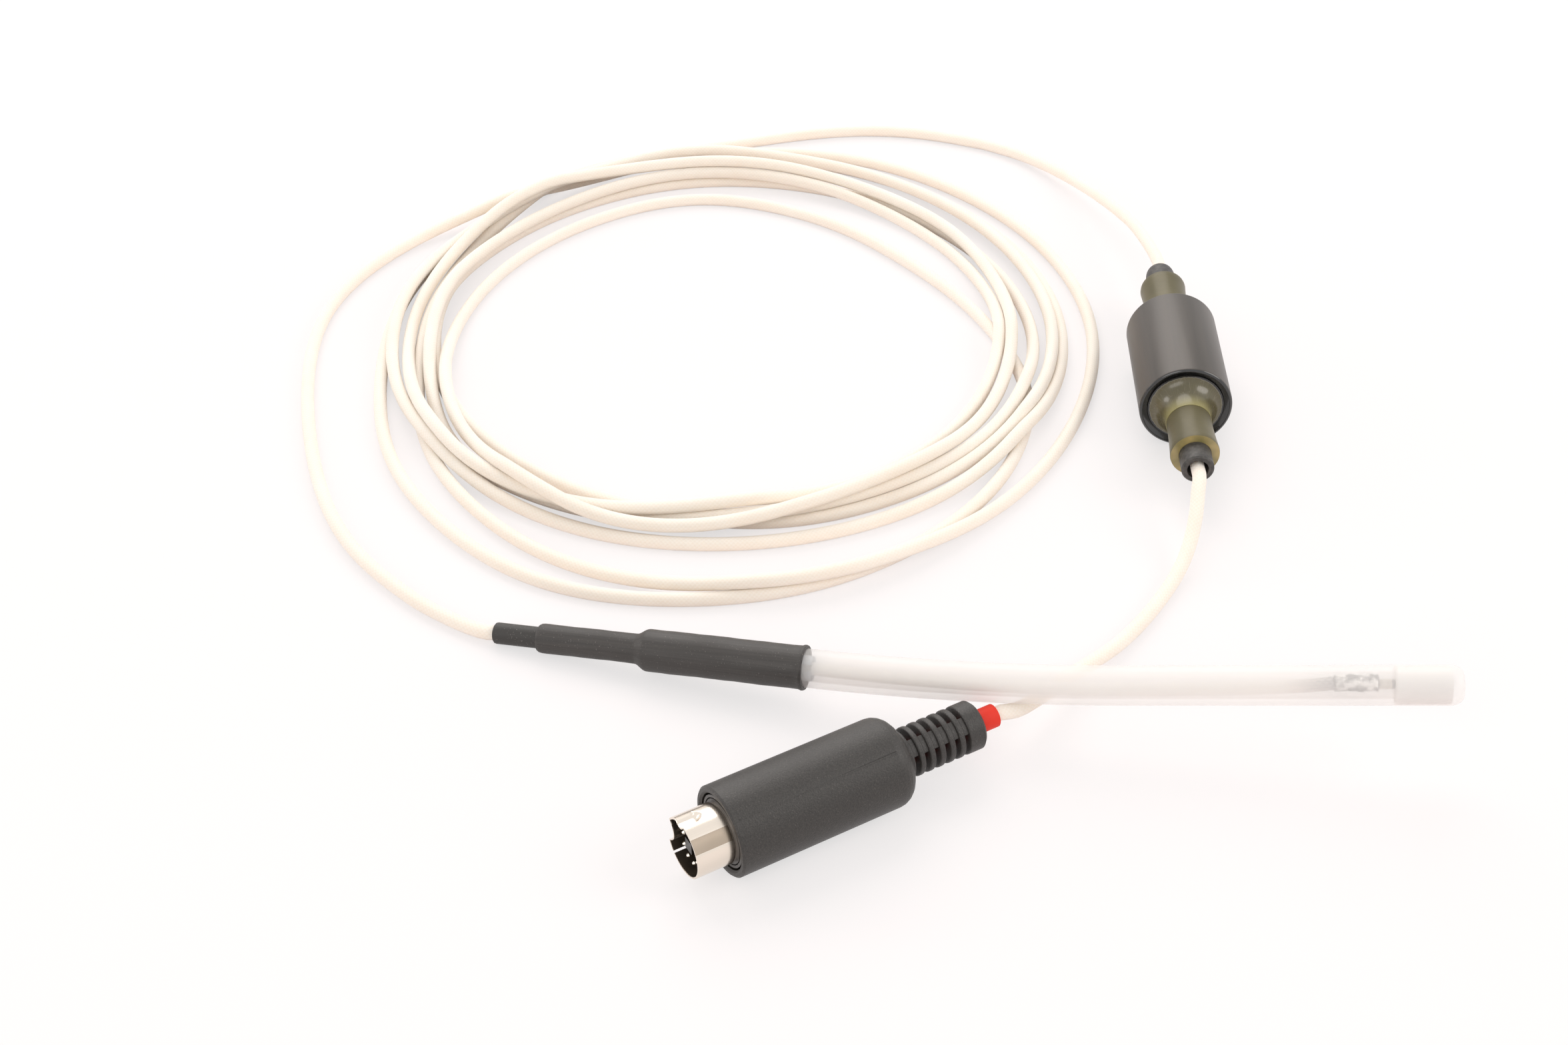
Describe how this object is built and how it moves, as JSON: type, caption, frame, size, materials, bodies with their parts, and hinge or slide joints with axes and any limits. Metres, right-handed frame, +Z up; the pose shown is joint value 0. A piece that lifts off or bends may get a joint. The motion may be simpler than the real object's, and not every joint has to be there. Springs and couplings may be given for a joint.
{
  "type": "temperature probe",
  "caption": "Temperature probe: a clear tube with a sensing element at its tip, black sleeves, and a long loosely coiled woven cable with an in-line filter and a small round plug.",
  "frame": {"origin": "the middle of the probe's own box, on the surface that it lies on", "axes": "+X runs along the probe's straight tip in plan, from the cable end to the tip; +Z is up; the tube rises 5.75 degrees towards its tip, where it lies across the cable"},
  "size_m": [0.2015, 0.2288, 0.0193],
  "materials": {
    "clear_tube": "clear, slightly milky fluoropolymer",
    "white_filling": "milky white plastic",
    "foil": "crumpled bright foil",
    "white_weave": "fine diagonal weave of glazed white yarn",
    "grey_plastic": "satin",
    "black_shrink": "satin shrink sleeve",
    "black_housing": "satin moulding",
    "ferrite": "sintered, matt",
    "olive_resin": "translucent olive resin",
    "olive_tube": "translucent olive shrink tube",
    "black_rubber": "matt",
    "black_hood": "fine sparked texture",
    "nickel": "bright nickel plate",
    "black_insulator": "glossy moulding",
    "pin_metal": "bright plated pins",
    "red_plastic": "satin extruded sleeve"
  },
  "bodies": {
    "root": {"sheath_tube": "clear_tube", "tip_filling": "white_filling", "sensor_bead": "white_filling", "sensor_element": "foil", "inner_lead": "white_weave", "tube_bush": "grey_plastic", "main_sleeve": "black_shrink", "cable_sleeve": "black_shrink", "probe_cable": "white_weave", "cable_lead": "white_weave", "cable_coil": "white_weave", "cable_return": "white_weave", "cable_tail": "white_weave", "filter_housing": "black_housing", "ferrite_core": "ferrite", "core_tube": "olive_tube", "front_resin": "olive_resin", "rear_resin": "olive_resin", "front_grommet": "black_rubber", "rear_grommet": "black_rubber", "filter_cable": "white_weave", "plug_hood": "black_hood", "plug_shield": "nickel", "plug_collar": "black_insulator", "plug_insulator": "black_insulator", "contact_pins": "pin_metal", "clamp_upper": "nickel", "clamp_lower": "nickel", "core_wires": "white_filling", "plug_cable": "white_weave", "red_sleeve": "red_plastic"}
  },
  "joints": []
}
